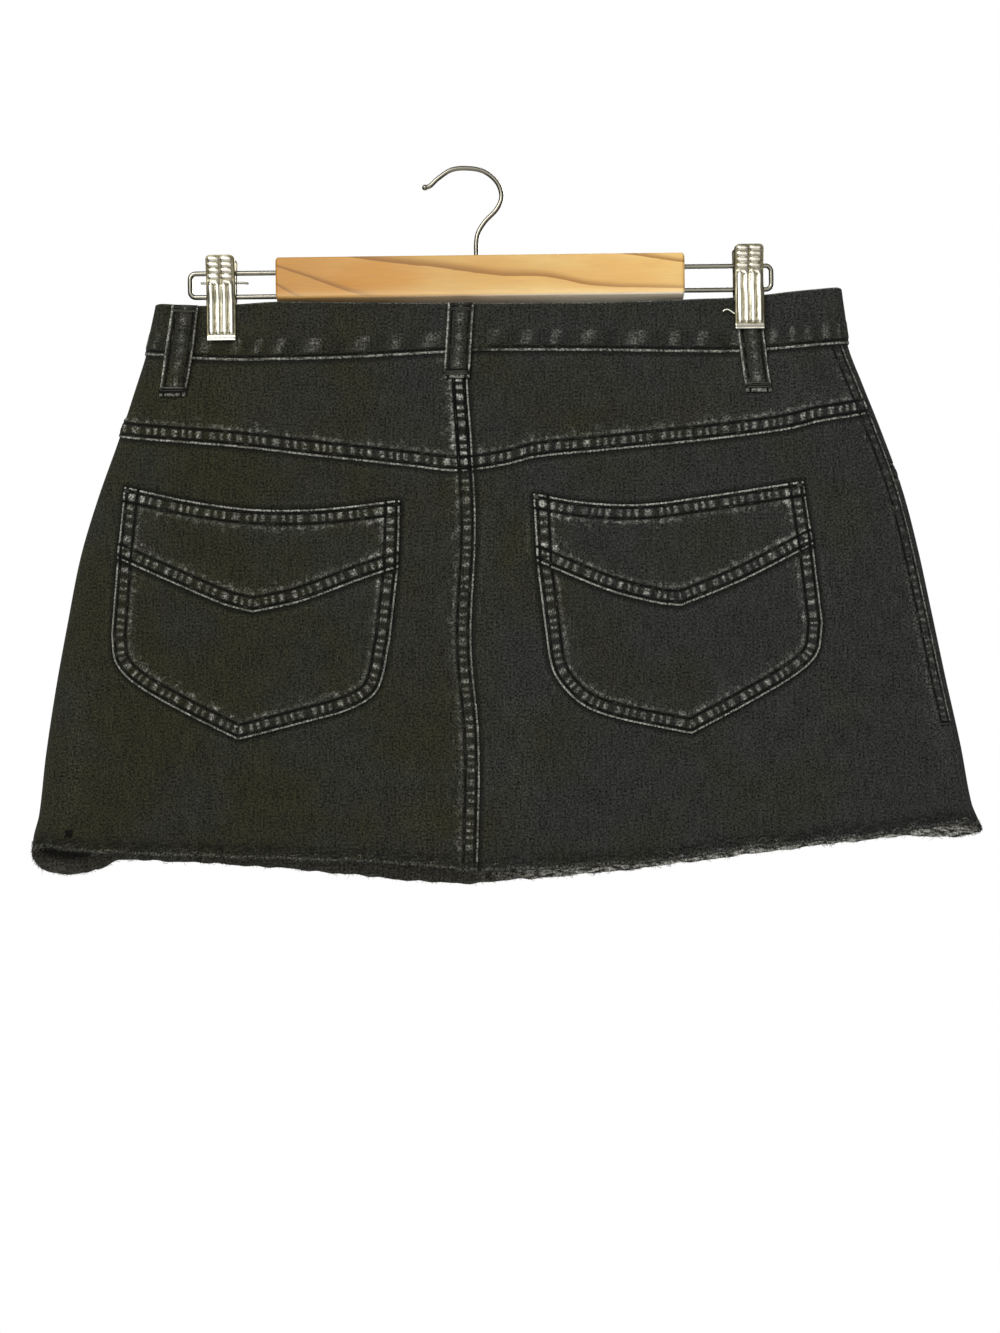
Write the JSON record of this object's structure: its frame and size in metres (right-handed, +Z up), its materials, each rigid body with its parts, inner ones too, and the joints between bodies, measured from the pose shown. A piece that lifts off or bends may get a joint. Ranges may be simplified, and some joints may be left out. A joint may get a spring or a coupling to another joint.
{
  "type": "denim skirt on hanger",
  "caption": "Black washed denim mini skirt with yoke, patch pockets, belt loops and a raw frayed hem, clamped flat on a wooden clip hanger.",
  "frame": {"origin": "the hook's seat: the underside of the top of the hook's bend, where a rail carries the hanger", "axes": "+Z up, +X to the right of a viewer who looks at the skirt's back, +Y from the skirt's back to its front"},
  "size_m": [0.5667, 0.0382, 0.4344],
  "materials": {
    "denim": "washed black denim twill, matt, with pale worn seam edges and black double topstitching",
    "frayed_thread": "loose grey and black yarn ends of a raw hem",
    "zip_tape": "black woven zip tape with a metal row of teeth",
    "button_metal": "plain dark metal shank button",
    "pine": "clear satin varnish over straight-grained pale softwood",
    "nickel": "bright nickel plate over steel wire and pressed sheet"
  },
  "bodies": {
    "root": {"waistband": "denim", "yoke_left": "denim", "yoke_right": "denim", "back_left": "denim", "back_right": "denim", "front_right": "denim", "front_left": "denim", "hip_pocket_facing_right": "denim", "hip_pocket_facing_left": "denim", "pocket_left_upper": "denim", "pocket_left_lower": "denim", "pocket_right_upper": "denim", "pocket_right_lower": "denim", "belt_loop_back_centre": "denim", "belt_loop_back_left": "denim", "belt_loop_back_right": "denim", "belt_loop_front_left": "denim", "belt_loop_front_right": "denim", "fray_back": "frayed_thread", "fray_front": "frayed_thread", "zip": "zip_tape", "waist_button": "button_metal", "hanger_bar": "pine", "hanger_hook": "nickel", "rail_left": "nickel", "rail_right": "nickel", "clip_left_front_plate": "nickel", "clip_left_back_plate": "nickel", "clip_left_spring": "nickel", "clip_right_front_plate": "nickel", "clip_right_back_plate": "nickel", "clip_right_spring": "nickel"}
  },
  "joints": []
}
